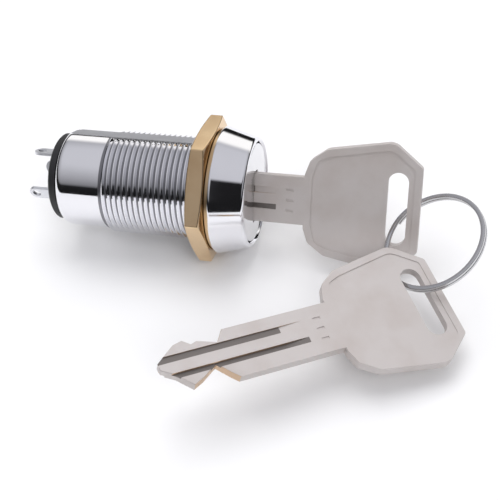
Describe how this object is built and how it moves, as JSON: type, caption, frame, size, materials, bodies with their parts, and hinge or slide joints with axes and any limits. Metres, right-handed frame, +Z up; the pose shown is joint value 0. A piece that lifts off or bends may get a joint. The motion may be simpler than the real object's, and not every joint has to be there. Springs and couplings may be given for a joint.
{
  "type": "selector key switch",
  "caption": "Key-operated rotary selector switch with a threaded chrome barrel, conical bezel, hex nut, wafer lock, solder lugs, and keys on a split ring.",
  "frame": {"origin": "centre of the bezel's back face, on the barrel's axis, where the switch seats on its panel", "axes": "+X along the barrel towards the key, +Z up from the surface the switch lies on, +Y across"},
  "size_m": [0.0838, 0.0573, 0.0252],
  "materials": {
    "chrome_zinc": "bright chrome plating over a zinc casting",
    "washer_brass": "dull brass with a nickel wash",
    "brass_nut": "dull brass with a nickel wash",
    "steel": "bare",
    "brass_plug": "machined",
    "polished_cap": "polished",
    "ivory_plastic": "moulded",
    "contact_brass": "stamped",
    "black_plastic": "moulded",
    "tinned_lug": "tinned",
    "nickel_key": "matte nickel plating",
    "ring_steel": "nickel plated spring steel",
    "wafer_brass": "stamped"
  },
  "bodies": {
    "housing": {"housing": "chrome_zinc", "stop_pin": "steel", "terminal_base": "black_plastic", "fixed_contacts": "contact_brass", "common_terminal": "tinned_lug", "terminal_a": "tinned_lug", "terminal_b": "tinned_lug"},
    "nut_washer": {"lock_washer": "washer_brass"},
    "nut": {"hex_nut": "brass_nut"},
    "plug": {"plug": "brass_plug", "face_cap": "polished_cap", "retaining_clip": "steel", "wafer_springs": "steel", "contact_rotor": "ivory_plastic", "moving_contact": "contact_brass", "contact_spring": "steel", "detent_spring": "steel"},
    "detent": {"detent_ball": "steel"},
    "wafer_1": {"wafer_1": "wafer_brass"},
    "wafer_2": {"wafer_2": "wafer_brass"},
    "wafer_3": {"wafer_3": "wafer_brass"},
    "wafer_4": {"wafer_4": "wafer_brass"},
    "wafer_5": {"wafer_5": "wafer_brass"},
    "key_1": {"key_1": "nickel_key"},
    "ring": {"split_ring": "ring_steel"},
    "key_2": {"key_2": "nickel_key"}
  },
  "joints": [
    {"name": "nut_turn", "type": "hinge", "parent": "nut_washer", "child": "nut", "pos_m": [-0.0024, 0, 0], "axis": [1, 0, 0], "range_deg": [-2880, 0]},
    {"name": "nut_travel", "type": "slide", "parent": "housing", "child": "nut_washer", "axis": [1, 0, 0], "range_m": [-0.008, 0]},
    {"name": "plug_turn", "type": "hinge", "parent": "housing", "child": "plug", "pos_m": [-0.01, 0, 0], "axis": [-1, 0, 0], "range_deg": [0, 90]},
    {"name": "detent_press", "type": "slide", "parent": "plug", "child": "detent", "axis": [0, -0.8949, 0.4462], "range_m": [0, 0.00045], "deforming": ["detent_spring"]},
    {"name": "key_slide", "type": "slide", "parent": "plug", "child": "key_1", "axis": [-1, 0, 0], "range_m": [-0.022, 0]},
    {"name": "wafer_1_slide", "type": "slide", "parent": "plug", "child": "wafer_1", "axis": [0, 0.4462, 0.8949], "range_m": [0, 0.0005]},
    {"name": "wafer_2_slide", "type": "slide", "parent": "plug", "child": "wafer_2", "axis": [0, -0.4462, -0.8949], "range_m": [0, 0.0005]},
    {"name": "wafer_3_slide", "type": "slide", "parent": "plug", "child": "wafer_3", "axis": [0, 0.4462, 0.8949], "range_m": [0, 0.0005]},
    {"name": "wafer_4_slide", "type": "slide", "parent": "plug", "child": "wafer_4", "axis": [0, -0.4462, -0.8949], "range_m": [0, 0.0005]},
    {"name": "wafer_5_slide", "type": "slide", "parent": "plug", "child": "wafer_5", "axis": [0, 0.4462, 0.8949], "range_m": [0, 0.0005]},
    {"name": "ring_swing", "type": "hinge", "parent": "key_1", "child": "ring", "pos_m": [0.0314, -0.00031, -0.00063], "axis": [0, 0.4462, 0.8949], "range_deg": [-2, 25]},
    {"name": "key_2_swing", "type": "hinge", "parent": "ring", "child": "key_2", "pos_m": [0.03851, -0.00648, -0.00191], "axis": [-0.4258, -0.265, 0.8652], "range_deg": [-20, 25]}
  ],
  "couplings": [
    {"joint": "nut_turn", "follows": "nut_travel", "rad_per_m": 6283.2},
    {"joint": "wafer_1_slide", "follows": "key_slide", "ratio": -0.022727},
    {"joint": "wafer_2_slide", "follows": "key_slide", "ratio": -0.022727},
    {"joint": "wafer_3_slide", "follows": "key_slide", "ratio": -0.022727},
    {"joint": "wafer_4_slide", "follows": "key_slide", "ratio": -0.022727},
    {"joint": "wafer_5_slide", "follows": "key_slide", "ratio": -0.022727}
  ]
}
